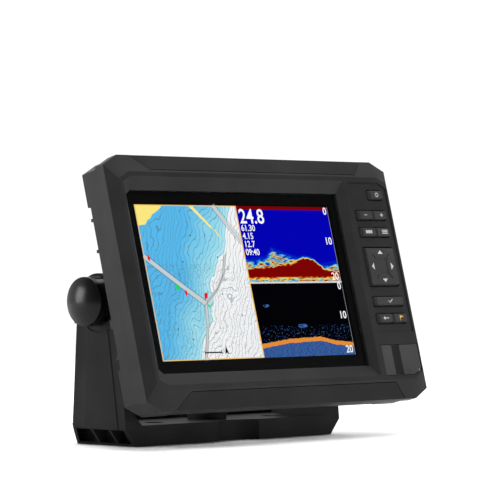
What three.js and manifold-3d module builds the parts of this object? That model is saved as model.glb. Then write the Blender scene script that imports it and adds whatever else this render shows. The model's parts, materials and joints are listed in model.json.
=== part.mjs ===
// A 7-inch chartplotter display on a quick-release cradle, between the arms of a bail bracket.
// Millimetres, +Z up, +X to the right of the screen, which faces -Y and leans back.
// The origin is the centre of the bail's underside, on the surface that it stands on.
//
// The display and the cradle are drawn in the display's own frame: x along the screen's width,
// y up the screen and z out of the glass, with z = 0 at the foot of the bezel's inner slopes.

import * as THREE from "three";
import { ConvexGeometry } from "three/addons/geometries/ConvexGeometry.js";
import { mergeVertices } from "three/addons/utils/BufferGeometryUtils.js";
import Module from "manifold-3d";

// ---- Driving dimensions ---------------------------------------------------------------------

const GAP = 0.3; // between pieces that touch
const PAST = 1; // how far a cutting solid runs past the face that it cuts
const OVERLAP = 0.5; // how far a joined solid runs into the one that it stands on
const LEAN_DEG = 14.8;
const DISPLAY_ORIGIN = { y: -52, z: 88.7 }; // in the part's frame

const CASE = { half: 113.7, bottom: -69.3, top: 70.8, cutX: 11.3, cutY: 5.6 };
const RIDGE = { half: 108.1, bottom: -58.7, top: 60.4, cutX: 7.9, cutY: 4.0 };
const FUNNEL = { left: -105.8, right: 70.7, bottom: -56.2, top: 57.9, cutX: 6.2, cutY: 3.5 };
const WINDOW = { left: -101.6, right: 66.4, bottom: -49.4, top: 51.0, cutX: 3.2, cutY: 2.5 };
const RIDGE_Z = 3.4;
const EDGE_Z = -1.1; // where the front slopes meet the case's sides
const SEAM_Z = -7.4; // back of the bezel
const WALL = 2.6;
const TRIM = { start: 1.5, thickness: 1.2, ridgeHalf: 81.5, flare: 1.1, wrapZ: -5.2 };

const GLASS = { frontZ: -0.1, thickness: 1.6 };
const GASKET_THICKNESS = 0.5;
const LEDGE = { z: -2.8, depth: 2.2, width: 3.1 }; // what the glass is bonded to
const LCD = { width: 160, height: 92, depth: 5.6, frontZ: -2.65 };
const TRAY = { frontZ: -5.4, backZ: -9.75, wall: 1.0 };

const KEYPAD = { left: 75.2, right: 106.6, bottom: -31.2, top: 57.2, cutX: 6.1, cutY: 3.5, z: 2.7 };
const KEYPAD_CAVITY = { left: 73, right: 107.1, bottom: -35, top: 55.6, z: 0.4 };
const KEY = { left: 76.9, middle: 90.2, right: 102.7, height: 6.4, pitch: 10, faceZ: 4.3, shoulderZ: 2.5 };
const KEY_SLACK = { left: 1.1, right: 0.35, bottom: 0.6, top: 0.35 }; // between a key and its pocket
const KEY_FACE_INSET = { left: 1.0, right: 0.6, bottom: 0.3, top: 0.6 };
const KEY_FLANGE = { width: 0.5, topZ: 0.1, bottomZ: -1.2 };
const KEY_CORNER = 1.0;
const PAIR_SLIT = { left: 0.15, right: 0.55 }; // either side of the line between two keys
const POWER_ROW_Y = 49.8;
const ZOOM_ROW_Y = 37.7;
const SELECT_ROW_Y = -13.1;
const PAD = { bottom: -4.5, top: 19.1, slack: 0.6, flangeTopZ: -0.5, flangeBottomZ: -1.3 };
const DISH = { floorHalf: 4.3, half: 5.2, depth: 0.9 };
const PAD_GROOVE = { start: 6.6, length: 3.2, width: 0.6, depth: 0.5 };
const GIMBAL = { radius: 3.2, frontZ: -1.6, backZ: -2.9 };
const MAT = { frontZ: -2.3, backZ: -3.0 };
const KEYPAD_BOARD = { frontZ: -3.4, backZ: -4.8 };

const DOOR = { left: 75.5, right: 107.6, bottom: -56.1, top: -38.7, cutX: 7.9, cutY: 2.9 };
const DOOR_FRONT_Z = RIDGE_Z;
const DOOR_BACK_Z = 1.6;
const DOOR_FLOOR_Z = 0.5; // floor of the door's pocket
const DOOR_HINGE = { x: 106.3, z: 2.1, knuckle: 1.3, pin: 0.5, bottom: -52.9, top: -38.9 };
const DOOR_GROOVE = { left: 84, right: 91, depth: 0.6 };
const CARD_SLOT = { x: 91.5, y: -47.1, width: 11.8, height: 1.6 };
const READER = { width: 14, height: 6.2, frontZ: -5.3, backZ: -13.9 };

const SHELL = { half: 112.7, bottom: -68.4, top: 69.7, cutX: 11.3, cutY: 5.6 };
const SHELL_BACK_Z = -16.9;
const FOOT = { z: -18.9, left: 84, bottom: -43, top: 46 };
const EDGE_LUGS = [[38, 39.7], [21, 22.7], [-20.8, -15.8], [-37.5, -35.6]]; // from, to along the edge
const LUG = { z: -18.4, depth: 3.4 };
const HUMP_FOOT = { half: 76, bottom: -50, top: 52, cutX: 8, cutY: 8 };
const HUMP_BACK = { half: 70, bottom: -43, top: 45, cutX: 7, cutY: 7 };
const HUMP_BACK_Z = -36;
const MAIN_BOARD = { half: 95, bottom: -53.5, top: 54.5, frontZ: -12.2, backZ: -13.6 };
const HEAT_SINK = { half: 40, bottom: -12, top: 32, frontZ: -13.9, plateZ: -17, finZ: -29 };
const HEAT_SINK_FIN = { width: 1.6, pitch: 8 };
const SCREW = { head: 2.6, headHeight: 1.5, shank: 1.4, tipZ: -3.6, boss: 3.6 };
const SCREW_AT = { x: 100, bottom: -58, top: 59 };
const SOCKET = { y: -29, neck: 7, neckZ: -30, flange: 9.5, flangeDepth: 2 };
const SOCKET_COLLAR = { radius: 8.2, bore: 6.4, backZ: -48 };
const SOCKET_X = { power_socket: -42, network_socket: 0, sonar_socket: 42 };
const BREATHER = { x: 21, y: -29, cap: 4, stem: 1.7, capDepth: 1.2, stemZ: -31 };

const PIVOT = { y: 2.35, z: -49.5 }; // the tilt axis in the display's frame
const CRADLE = { bottom: -13, top: 34, frontZ: -36.5, backZ: -43.5, rim: 5, recess: 4 };
const EAR = { outer: 77.2, thickness: 7.5, radius: 12.5, bottom: -13, top: 24 };
const LEVER = { y: 43, z: -43, hub: 3.4, pin: 1.5, half: 16.5, lug: 4, lugFoot: 6, springHalf: 5 };
const HOOK = { frontZ: -31, bottom: 47.6, top: 50.1 };
const TAB = { backZ: -58, thickness: 3 };
const SPRING = { radius: 2.5, wire: 0.4, turns: 4 };
const WASHER = { inner: 3.4, outer: 10, thickness: 0.8 };

const BAIL = { footHalf: 79, half: 87, footTop: 9.4, front: -24, back: 24, deck: 11.2 };
const BACK_CORNER = { low: 100, high: 104.4, skin: 2.4 }; // |x| + y where the foot's corners are cut
const BACK_RIM = { half: 80, thickness: 3, top: 15.2 };
const ARM = { inner: 78.6, cornerX: 73.8, cornerZ: 16.2, bore: 3.6 };
const ARM_BACK = { low: 18.6, high: 15.4, shoulderZ: 66 };
const ARM_TOP = { radius: 15.2, aside: 1.5 };
const FOOT_POCKET = { innerX: 75.5, low: 1.4, high: 8.9, walls: [-22.2, -11.5, 2.5, 22.2], rib: 1.6 };
const BACK_BEVEL = { depth: 1.7, low: { z: 9, from: 7.1, to: 14.1 }, high: { z: 66, from: 4.6, to: 11.2 } };
const FRONT_BEVEL = {
  depth: 0.5, low: { z: 9, from: -18.3, to: -18.9 }, high: { z: 64, from: -10.2, to: -10.8 },
};
const SCOOP = { left: -16, right: 18.5, depth: 6 };
const HUB = { radius: 11, height: 6.2 };
const BAIL_HOLE = { x: 47, y: -6, radius: 2.6, sink: 5.6 };
const UNDER = { inner: 20, outer: 70, half: 19.5, top: 8.2, boss: 7 };

const KNOB = { radius: 13.3, backX: 86.6, rimX: 98, domeHeight: 3.4, socket: 9, recess: 17 };
const KNOB_RING = { inset: 0.35, width: 0.5, pitch: 1.1 };
const KNOB_RIBS = { groups: 6, inGroup: 3, pitchDeg: 6.5, firstDeg: 165, height: 0.4, length: 6.5 };
const STUD = { radius: 3, inner: 64, outer: 95.2 };

// ---- Materials --------------------------------------------------------------------------------

function surface(color, roughness, metalness = 0) {
  return new THREE.MeshStandardMaterial({ color, roughness, metalness });
}

const CASE_PLASTIC = surface(0x2b2c2e, 0.55);
const TRIM_PLASTIC = surface(0x262729, 0.42);
const KEY_RUBBER = surface(0x3c3d3f, 0.6);
const BLACK_RUBBER = surface(0x131314, 0.8);
const BLACK_GLASS = surface(0x05060a, 0.05);
const CIRCUIT_BOARD = surface(0x14472c, 0.5);
const STEEL = surface(0x9a9c9f, 0.35, 1);
const ALUMINIUM = surface(0xb4b6b8, 0.45, 1);

// ---- Solids -----------------------------------------------------------------------------------

const wasm = await Module();
wasm.setup();

function solidOf(geometry) {
  const bare = geometry.clone();
  bare.deleteAttribute("normal");
  bare.deleteAttribute("uv");
  const merged = mergeVertices(bare, 1e-4);
  return new wasm.Manifold(new wasm.Mesh({
    numProp: 3,
    vertProperties: new Float32Array(merged.attributes.position.array),
    triVerts: new Uint32Array(merged.index.array),
  }));
}

function geometryOf(solid) {
  const mesh = solid.getMesh();
  const geometry = new THREE.BufferGeometry();
  geometry.setAttribute("position", new THREE.BufferAttribute(mesh.vertProperties, 3));
  geometry.setIndex(new THREE.BufferAttribute(mesh.triVerts, 1));
  geometry.computeVertexNormals();
  return geometry;
}

function piece(name, solid, material) {
  const mesh = new THREE.Mesh(geometryOf(solid), material);
  mesh.name = name;
  return mesh;
}

const join = (first, ...others) => others.reduce((sum, other) => sum.add(other), first);
const cut = (first, ...others) => others.reduce((rest, other) => rest.subtract(other), first);

function block([x0, x1], [y0, y1], [z0, z1]) {
  const box = new THREE.BoxGeometry(x1 - x0, y1 - y0, z1 - z0);
  return solidOf(box.translate((x0 + x1) / 2, (y0 + y1) / 2, (z0 + z1) / 2));
}

function hullOf(points) {
  return solidOf(new ConvexGeometry(points.map(([x, y, z]) => new THREE.Vector3(x, y, z))));
}

// The hull of flat outlines in planes of constant z.
function loft(...levels) {
  return hullOf(levels.flatMap(({ outline, z }) => outline.map(([x, y]) => [x, y, z])));
}

// A section in the YZ plane is drawn in XY and turned so that its depth runs along +X.
const ALONG_X = new THREE.Matrix4().makeBasis(
  new THREE.Vector3(0, 1, 0), new THREE.Vector3(0, 0, 1), new THREE.Vector3(1, 0, 0));
// A section in the XZ plane is drawn in XY and turned so that its depth runs along -Y.
const ALONG_Y = new THREE.Matrix4().makeBasis(
  new THREE.Vector3(1, 0, 0), new THREE.Vector3(0, 0, 1), new THREE.Vector3(0, -1, 0));

function prismGeometry(outline, z0, z1) {
  const shape = new THREE.Shape(outline.map(([x, y]) => new THREE.Vector2(x, y)));
  const geometry = new THREE.ExtrudeGeometry(shape, { depth: z1 - z0, bevelEnabled: false });
  return geometry.translate(0, 0, z0);
}

const prism = (outline, z0, z1) => solidOf(prismGeometry(outline, z0, z1));
const prismAlongX = (outline, x0, x1) => solidOf(prismGeometry(outline, x0, x1).applyMatrix4(ALONG_X));
const prismAlongY = (outline, y0, y1) => solidOf(prismGeometry(outline, -y1, -y0).applyMatrix4(ALONG_Y));

function circle(radius, x, y, sides = 24, from = 0, to = 2 * Math.PI) {
  const steps = to - from < 2 * Math.PI ? sides + 1 : sides;
  return Array.from({ length: steps }, (_, i) => {
    const angle = from + ((to - from) * i) / sides;
    return [x + radius * Math.cos(angle), y + radius * Math.sin(angle)];
  });
}

const rod = (radius, [x, y], z0, z1, sides = 16) => prism(circle(radius, x, y, sides), z0, z1);
const rodAlongX = (radius, [y, z], x0, x1, sides = 24) => prismAlongX(circle(radius, y, z, sides), x0, x1);
const rodAlongY = (radius, [x, z], y0, y1, sides = 12) => prismAlongY(circle(radius, x, z, sides), y0, y1);

// A turned solid whose profile is a list of [radius, height], its axis along +Z.
function turned(profile, [x, y], sides = 24) {
  const points = profile.map(([radius, height]) => new THREE.Vector2(radius, height));
  return solidOf(new THREE.LatheGeometry(points, sides).rotateX(Math.PI / 2).translate(x, y, 0));
}

// The same about an axis along X, its heights measured outwards on the side that sign names.
function turnedAlongX(profile, sign, [y, z], sides = 36) {
  const points = profile.map(([radius, height]) => new THREE.Vector2(radius, height));
  const geometry = new THREE.LatheGeometry(points, sides).rotateZ((-sign * Math.PI) / 2);
  return solidOf(geometry.translate(0, y, z));
}

// ---- Outlines ---------------------------------------------------------------------------------

const symmetric = ({ half, ...rest }) => ({ left: -half, right: half, ...rest });

const grow = (rectangle, by) => ({
  ...rectangle,
  left: rectangle.left - by,
  right: rectangle.right + by,
  bottom: rectangle.bottom - by,
  top: rectangle.top + by,
});

function corners({ left, right, bottom, top }) {
  return [[left, bottom], [right, bottom], [right, top], [left, top]];
}

// A rectangle with its left corners cut off, and its right ones too unless it is square there.
function cutCorners(rectangle, squareRight = false) {
  const { left, right, bottom, top, cutX, cutY } = rectangle;
  const rightSide = squareRight
    ? [[right, bottom], [right, top]]
    : [[right - cutX, bottom], [right, bottom + cutY], [right, top - cutY], [right - cutX, top]];
  const leftSide = [[left + cutX, top], [left, top - cutY], [left, bottom + cutY], [left + cutX, bottom]];
  return [...rightSide, ...leftSide];
}

function roundCorners({ left, right, bottom, top }, radius) {
  const centres = [
    [right - radius, top - radius], [left + radius, top - radius],
    [left + radius, bottom + radius], [right - radius, bottom + radius],
  ];
  return centres.flatMap(([x, y], quarter) => {
    const from = (quarter * Math.PI) / 2;
    return circle(radius, x, y, 4, from, from + Math.PI / 2);
  });
}

// The rectangle with each side moved inwards by its own amount.
const inset = (rectangle, by) => ({
  ...rectangle,
  left: rectangle.left + by.left,
  right: rectangle.right - by.right,
  bottom: rectangle.bottom + by.bottom,
  top: rectangle.top - by.top,
});

// Between two rectangles: share 0 gives the first, 1 the second, and more runs past it.
function blend(first, second, share) {
  const mixed = Object.entries(first).map(([key, value]) => [key, value + (second[key] - value) * share]);
  return Object.fromEntries(mixed);
}

const plate = (rectangle, z0, z1) => block(
  [rectangle.left, rectangle.right], [rectangle.bottom, rectangle.top], [z0, z1]);

const caseRectangle = symmetric(CASE);
const shellRectangle = symmetric(SHELL);

// ---- Bezel and trims --------------------------------------------------------------------------

const SLOPES = {
  top: { sign: 1, ridge: RIDGE.top, edge: CASE.top },
  bottom: { sign: -1, ridge: RIDGE.bottom, edge: CASE.bottom },
};

// The insert in a long slope, which wraps over the edge. With slack it is the pocket that it
// sits in, which stands open at the front.
function trimSolid({ sign, ridge, edge }, slack) {
  const drop = (EDGE_Z - RIDGE_Z) / Math.abs(edge - ridge);
  const start = TRIM.start - slack;
  const deep = TRIM.thickness + slack;
  const proud = slack > 0 ? PAST : 0;
  const startY = ridge + sign * start;
  const startZ = RIDGE_Z + drop * start;
  const wrapZ = TRIM.wrapZ - slack;
  const section = [
    [startY, startZ + proud], [edge + sign * proud, EDGE_Z + proud], [edge + sign * proud, wrapZ],
    [edge - sign * deep, wrapZ], [edge - sign * deep, EDGE_Z - deep], [startY, startZ - deep],
  ];
  const ridgeHalf = TRIM.ridgeHalf + slack;
  const outerY = edge + sign * 2 * PAST;
  const edgeHalf = ridgeHalf + TRIM.flare * Math.abs(outerY - ridge);
  const fromFront = [[-ridgeHalf, ridge], [ridgeHalf, ridge], [edgeHalf, outerY], [-edgeHalf, outerY]];
  const strip = prismAlongX(section, -edgeHalf, edgeHalf);
  return strip.intersect(prism(fromFront, SEAM_Z, RIDGE_Z + 2 * PAST));
}

function glassFunnel() {
  const share = 1.3;
  const slopes = loft(
    { outline: cutCorners(WINDOW, true), z: 0 },
    { outline: cutCorners(blend(WINDOW, FUNNEL, share), true), z: RIDGE_Z * share },
  );
  const overlap = 0.2;
  return join(slopes, prism(cutCorners(WINDOW, true), LEDGE.z, overlap));
}

function keypadRecess() {
  const { left, right, bottom, top, cutX, cutY, z } = KEYPAD;
  const outline = [[left, bottom], [right, bottom], [right, top - cutY], [right - cutX, top], [left, top]];
  return prism(outline, z, RIDGE_Z + PAST);
}

function doorOutline(slack) {
  const { left, right, bottom, top, cutX, cutY } = grow(DOOR, slack);
  return [[right, bottom + cutY], [right, top], [left, top], [left, bottom], [right - cutX, bottom]];
}

const SCREW_PLACES = [-SCREW_AT.x, 0, SCREW_AT.x].flatMap(
  (x) => [SCREW_AT.bottom, SCREW_AT.top].map((y) => ({ x, y, headZ: x === 0 ? SHELL_BACK_Z : FOOT.z })));

function cardSlot(backZ, frontZ) {
  const { x, y, width, height } = CARD_SLOT;
  return block([x - width / 2, x + width / 2], [y - height / 2, y + height / 2], [backZ, frontZ]);
}

function frontBezel() {
  const slab = loft(
    { outline: cutCorners(caseRectangle), z: SEAM_Z },
    { outline: cutCorners(caseRectangle), z: EDGE_Z },
    { outline: cutCorners(symmetric(RIDGE)), z: RIDGE_Z },
  );
  const cavityZ = LEDGE.z - LEDGE.depth;
  const behindScreen = prism(cutCorners(grow(caseRectangle, -WALL)), SEAM_Z - PAST, cavityZ);
  const bosses = SCREW_PLACES.map(({ x, y }) => rod(SCREW.boss, [x, y], SEAM_Z, cavityZ + PAST));
  const screwHoles = SCREW_PLACES.map(
    ({ x, y }) => rod(SCREW.shank + GAP, [x, y], SEAM_Z - PAST, SCREW.tipZ + GAP, 12));
  const keyHoles = POCKETS.map((pocket) => prism(
    roundCorners(pocket, KEY_CORNER), KEYPAD_CAVITY.z - PAST, RIDGE_Z + PAST));
  const pinAt = [DOOR_HINGE.x, DOOR_HINGE.z];
  const pinHole = rodAlongY(DOOR_HINGE.pin + GAP, pinAt, ...doorPinSpan(GAP));
  const open = cut(
    slab,
    glassFunnel(),
    plate(grow(WINDOW, -LEDGE.width), SEAM_Z, LEDGE.z + PAST),
    behindScreen,
    plate(KEYPAD_CAVITY, cavityZ - PAST, KEYPAD_CAVITY.z),
    keypadRecess(),
    prism(doorOutline(GAP), DOOR_FLOOR_Z, RIDGE_Z + PAST),
    cardSlot(SEAM_Z, RIDGE_Z),
    pinHole,
    trimSolid(SLOPES.top, GAP),
    trimSolid(SLOPES.bottom, GAP),
    ...keyHoles,
  );
  return cut(join(open, ...bosses), ...screwHoles);
}

// ---- Glass and screen -------------------------------------------------------------------------

const screenCentre = { x: (WINDOW.left + WINDOW.right) / 2, y: (WINDOW.bottom + WINDOW.top) / 2 };
const lcdRectangle = {
  left: screenCentre.x - LCD.width / 2,
  right: screenCentre.x + LCD.width / 2,
  bottom: screenCentre.y - LCD.height / 2,
  top: screenCentre.y + LCD.height / 2,
};

function coverGlass() {
  return prism(cutCorners(grow(WINDOW, -GAP), true), GLASS.frontZ - GLASS.thickness, GLASS.frontZ);
}

function glassGasket() {
  const frontZ = GLASS.frontZ - GLASS.thickness - GAP;
  const outer = prism(cutCorners(grow(WINDOW, -2 * GAP), true), frontZ - GASKET_THICKNESS, frontZ);
  const opening = grow(WINDOW, GAP - LEDGE.width);
  return cut(outer, prism(cutCorners(opening, true), frontZ - GASKET_THICKNESS - PAST, frontZ + PAST));
}

const lcdPanel = () => plate(lcdRectangle, LCD.frontZ - LCD.depth, LCD.frontZ);

function lcdTray() {
  const inner = grow(lcdRectangle, GAP);
  const floorZ = LCD.frontZ - LCD.depth - GAP;
  return cut(
    plate(grow(inner, TRAY.wall), TRAY.backZ, TRAY.frontZ),
    plate(inner, floorZ, TRAY.frontZ + PAST),
  );
}

// ---- Keypad -----------------------------------------------------------------------------------

const row = (y) => ({ bottom: y - KEY.height / 2, top: y + KEY.height / 2 });
const wide = { left: KEY.left, right: KEY.right };

// Each pocket with the keys in it, from left to right.
const POCKETS = [
  { left: KEY.middle - KEY_SLACK.right, right: KEY.right, ...row(POWER_ROW_Y), keys: ["power_key"] },
  { ...wide, ...row(ZOOM_ROW_Y), keys: ["zoom_out_key", "zoom_in_key"] },
  { ...wide, ...row(ZOOM_ROW_Y - KEY.pitch), keys: ["mode_key", "menu_key"] },
  { ...wide, bottom: PAD.bottom, top: PAD.top, keys: [] },
  { ...wide, ...row(SELECT_ROW_Y), keys: ["select_key"] },
  { ...wide, ...row(SELECT_ROW_Y - KEY.pitch), keys: ["back_key", "mark_key"] },
];
const padPocket = POCKETS[3];
const padCentre = [(KEY.left + KEY.right) / 2, (PAD.bottom + PAD.top) / 2];

// A key's cap, on a flange that the bezel holds down. Half of a pair stops at the line between them.
function keySolid(pocket, half) {
  const base = inset(pocket, KEY_SLACK);
  const flange = grow(pocket, KEY_FLANGE.width);
  if (half === "left") {
    base.right = KEY.middle - PAIR_SLIT.left;
    flange.right = base.right;
  }
  if (half === "right") {
    base.left = KEY.middle + PAIR_SLIT.right;
    flange.left = base.left;
  }
  const cap = loft(
    { outline: roundCorners(base, KEY_CORNER), z: KEY_FLANGE.bottomZ },
    { outline: roundCorners(base, KEY_CORNER), z: KEY.shoulderZ },
    { outline: roundCorners(inset(base, KEY_FACE_INSET), KEY_CORNER), z: KEY.faceZ },
  );
  return join(cap, plate(flange, KEY_FLANGE.bottomZ, KEY_FLANGE.topZ));
}

function keyPieces() {
  return POCKETS.flatMap((pocket) => pocket.keys.map((name, index) => {
    const half = pocket.keys.length === 1 ? "whole" : ["left", "right"][index];
    return piece(name, keySolid(pocket, half), KEY_RUBBER);
  }));
}

// A square pad with a shallow square dish and four short grooves that run on from its corners.
function directionPad() {
  const base = grow(padPocket, -PAD.slack);
  const rim = grow(base, -PAD.slack);
  const body = loft(
    { outline: roundCorners(base, KEY_CORNER), z: PAD.flangeBottomZ },
    { outline: roundCorners(base, KEY_CORNER), z: KEY.shoulderZ },
    { outline: roundCorners(rim, KEY_CORNER), z: KEY.faceZ },
  );
  const flange = plate(grow(base, PAD.slack), PAD.flangeBottomZ, PAD.flangeTopZ);
  const [x, y] = padCentre;
  const square = (half) => corners({ left: x - half, right: x + half, bottom: y - half, top: y + half });
  const dish = loft(
    { outline: square(DISH.floorHalf), z: KEY.faceZ - DISH.depth },
    { outline: square(DISH.half + (DISH.half - DISH.floorHalf)), z: KEY.faceZ + DISH.depth },
  );
  const grooves = [45, 135, 225, 315].map((angle) => {
    const bar = new THREE.BoxGeometry(PAD_GROOVE.length, PAD_GROOVE.width, 2 * PAD_GROOVE.depth);
    bar.translate(PAD_GROOVE.start + PAD_GROOVE.length / 2, 0, 0);
    bar.rotateZ(THREE.MathUtils.degToRad(angle));
    return solidOf(bar.translate(x, y, KEY.faceZ));
  });
  return cut(join(body, flange), dish, ...grooves);
}

const padGimbal = () => rod(GIMBAL.radius, padCentre, GIMBAL.backZ, GIMBAL.frontZ, 16);

function keypadMat() {
  const sheet = plate(grow(KEYPAD_CAVITY, -PAST), MAT.backZ, MAT.frontZ);
  return cut(sheet, rod(GIMBAL.radius + PAST, padCentre, MAT.backZ - PAST, MAT.frontZ + PAST));
}

const keypadBoard = () => plate(grow(KEYPAD_CAVITY, -PAST), KEYPAD_BOARD.backZ, KEYPAD_BOARD.frontZ);

// ---- Card door --------------------------------------------------------------------------------

function doorPinSpan(slack) {
  const reach = 1.6;
  return [DOOR_HINGE.bottom - reach - slack, DOOR_HINGE.top + reach + slack];
}

// The leaf ends at the hinge's axis, where the knuckle rounds it off, so that it swings clear.
function cardDoor() {
  const leaf = prism(doorOutline(0), DOOR_BACK_Z, DOOR_FRONT_Z);
  const pastHinge = plate({ ...DOOR, left: DOOR_HINGE.x, right: DOOR.right + PAST }, 0, DOOR_FRONT_Z + PAST);
  const hingeAt = [DOOR_HINGE.x, DOOR_HINGE.z];
  const knuckle = rodAlongY(DOOR_HINGE.knuckle, hingeAt, DOOR_HINGE.bottom, DOOR_HINGE.top, 24);
  const groove = block(
    [DOOR_GROOVE.left, DOOR_GROOVE.right],
    [DOOR.bottom - PAST, DOOR.top + PAST],
    [DOOR_FRONT_Z - DOOR_GROOVE.depth, DOOR_FRONT_Z + PAST]);
  const pinHole = rodAlongY(DOOR_HINGE.pin + GAP, hingeAt, DOOR.bottom - PAST, DOOR.top + PAST);
  const notchLeft = DOOR_HINGE.x - DOOR_HINGE.knuckle - GAP;
  const belowKnuckle = plate({ ...DOOR, left: notchLeft, top: DOOR_HINGE.bottom }, 0, DOOR_FRONT_Z + PAST);
  return cut(join(cut(leaf, pastHinge, belowKnuckle), knuckle), groove, pinHole);
}

const doorPin = () => rodAlongY(DOOR_HINGE.pin, [DOOR_HINGE.x, DOOR_HINGE.z], ...doorPinSpan(0));

function cardReader() {
  const { x, y } = CARD_SLOT;
  const body = block(
    [x - READER.width / 2, x + READER.width / 2],
    [y - READER.height / 2, y + READER.height / 2],
    [READER.backZ, READER.frontZ]);
  return cut(body, cardSlot(READER.backZ + PAST, READER.frontZ + PAST));
}

// ---- Rear housing and what it holds -----------------------------------------------------------

// The hump stands on the flat shell's back. With an inset it is the space inside its walls.
function humpLoft(inset) {
  const footZ = SHELL_BACK_Z - GAP;
  return loft(
    { outline: cutCorners(grow(symmetric(HUMP_FOOT), -inset)), z: inset > 0 ? footZ + PAST : footZ },
    { outline: cutCorners(grow(symmetric(HUMP_BACK), -inset)), z: HUMP_BACK_Z + inset },
  );
}

function cornerFeet() {
  const slab = prism(cutCorners(shellRectangle), FOOT.z, SHELL_BACK_Z + OVERLAP);
  const depth = [FOOT.z - PAST, 0];
  const middle = block([-FOOT.left, FOOT.left], [SHELL.bottom - PAST, SHELL.top + PAST], depth);
  const between = block([-SHELL.half - PAST, SHELL.half + PAST], [FOOT.bottom, FOOT.top], depth);
  return cut(slab, middle, between);
}

function edgeLugs() {
  return [-1, 1].flatMap((sign) => EDGE_LUGS.map(([from, to]) => {
    const span = [sign * SHELL.half, sign * (SHELL.half - LUG.depth)].sort((a, b) => a - b);
    return block(span, [from, to], [LUG.z, SHELL_BACK_Z + OVERLAP]);
  }));
}

// A flat tray with an opening in its back, which the hump covers.
function rearHousing() {
  const frontZ = SEAM_Z - GAP;
  const innerZ = SHELL_BACK_Z + WALL;
  const outside = join(prism(cutCorners(shellRectangle), SHELL_BACK_Z, frontZ), cornerFeet(), ...edgeLugs());
  const inside = prism(cutCorners(grow(shellRectangle, -WALL)), innerZ, frontZ + PAST);
  const underHump = cutCorners(grow(symmetric(HUMP_FOOT), -2 * WALL));
  const opening = prism(underHump, SHELL_BACK_Z - PAST, innerZ + PAST);
  const bosses = SCREW_PLACES.map(({ x, y }) => rod(SCREW.boss, [x, y], innerZ - PAST, frontZ));
  const screwHoles = SCREW_PLACES.flatMap(({ x, y, headZ }) => [
    rod(SCREW.shank + GAP, [x, y], headZ - PAST, frontZ + PAST, 12),
    rod(SCREW.head + GAP, [x, y], headZ - PAST, headZ + SCREW.headHeight + 2 * GAP, 12),
  ]);
  return cut(join(cut(outside, inside, opening), ...bosses), ...screwHoles);
}

function rearHump() {
  const wall = [HUMP_BACK_Z - PAST, HUMP_BACK_Z + WALL + PAST];
  const socketHoles = Object.values(SOCKET_X).map((x) => rod(SOCKET.neck + GAP, [x, SOCKET.y], ...wall, 24));
  const breatherHole = rod(BREATHER.stem + GAP, [BREATHER.x, BREATHER.y], ...wall, 12);
  return cut(humpLoft(0), humpLoft(WALL), ...socketHoles, breatherHole);
}

// A thin ring inside the seam.
function housingGasket() {
  const outer = grow(shellRectangle, -WALL - GAP);
  const width = 1.3;
  const z0 = SEAM_Z - 1.2;
  const z1 = SEAM_Z + 0.8;
  return cut(
    prism(cutCorners(outer), z0, z1),
    prism(cutCorners(grow(outer, -width)), z0 - PAST, z1 + PAST));
}

function mainBoard() {
  const board = plate(symmetric(MAIN_BOARD), MAIN_BOARD.backZ, MAIN_BOARD.frontZ);
  const readerNotch = block(
    [CARD_SLOT.x - READER.width / 2 - PAST, MAIN_BOARD.half + PAST],
    [MAIN_BOARD.bottom - PAST, CARD_SLOT.y + READER.height / 2 + PAST],
    [MAIN_BOARD.backZ - PAST, MAIN_BOARD.frontZ + PAST]);
  return cut(board, readerNotch);
}

function heatSpreader() {
  const { half, bottom, top, frontZ, plateZ, finZ } = HEAT_SINK;
  const fins = [];
  for (let x = -half; x <= half - HEAT_SINK_FIN.width; x += HEAT_SINK_FIN.pitch) {
    fins.push(block([x, x + HEAT_SINK_FIN.width], [bottom, top], [finZ, plateZ + PAST]));
  }
  return join(block([-half, half], [bottom, top], [plateZ, frontZ]), ...fins);
}

// A round chassis socket: a neck through the wall, a flange on it and a collar around the bore.
function socketSolid(x) {
  const { radius, bore, backZ } = SOCKET_COLLAR;
  const flangeZ = HUMP_BACK_Z - GAP;
  const flangeBackZ = flangeZ - SOCKET.flangeDepth;
  const profile = [
    [0, HUMP_BACK_Z], [bore, HUMP_BACK_Z], [bore, backZ], [radius, backZ],
    [radius, flangeBackZ], [SOCKET.flange, flangeBackZ], [SOCKET.flange, flangeZ],
    [SOCKET.neck, flangeZ], [SOCKET.neck, SOCKET.neckZ], [0, SOCKET.neckZ],
  ];
  return turned(profile, [x, SOCKET.y]);
}

function breather() {
  const capZ = HUMP_BACK_Z - GAP;
  const profile = [
    [0, capZ - BREATHER.capDepth], [BREATHER.cap, capZ - BREATHER.capDepth], [BREATHER.cap, capZ],
    [BREATHER.stem, capZ], [BREATHER.stem, BREATHER.stemZ], [0, BREATHER.stemZ],
  ];
  return turned(profile, [BREATHER.x, BREATHER.y], 12);
}

// A pan-head screw with a hexagonal recess, put in from the back.
function housingScrew({ x, y, headZ }) {
  const backZ = headZ + GAP;
  const underHeadZ = backZ + SCREW.headHeight;
  const profile = [
    [0, backZ], [SCREW.head, backZ], [SCREW.head, underHeadZ], [SCREW.shank, underHeadZ],
    [SCREW.shank, SCREW.tipZ], [0, SCREW.tipZ],
  ];
  const key = { radius: 1.3, depth: 0.9 };
  return cut(turned(profile, [x, y], 12), rod(key.radius, [x, y], backZ - PAST, backZ + key.depth, 6));
}

// ---- Cradle -----------------------------------------------------------------------------------

const pinAxis = [LEVER.y, LEVER.z];
const lugInner = LEVER.half + GAP;
const lugOuter = lugInner + LEVER.lug;

// The hull of two outlines in the YZ plane, run along X.
function bracketAlongX(outline, x0, x1) {
  return hullOf([x0, x1].flatMap((x) => outline.map(([y, z]) => [x, y, z])));
}

function cradleEar(sign) {
  const { outer, thickness, radius, bottom, top } = EAR;
  const outline = [
    ...circle(radius, PIVOT.y, PIVOT.z, 32),
    [bottom, CRADLE.frontZ], [top, CRADLE.frontZ], [top, CRADLE.backZ], [bottom, CRADLE.backZ],
  ];
  return bracketAlongX(outline, sign * outer, sign * (outer - thickness));
}

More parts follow.
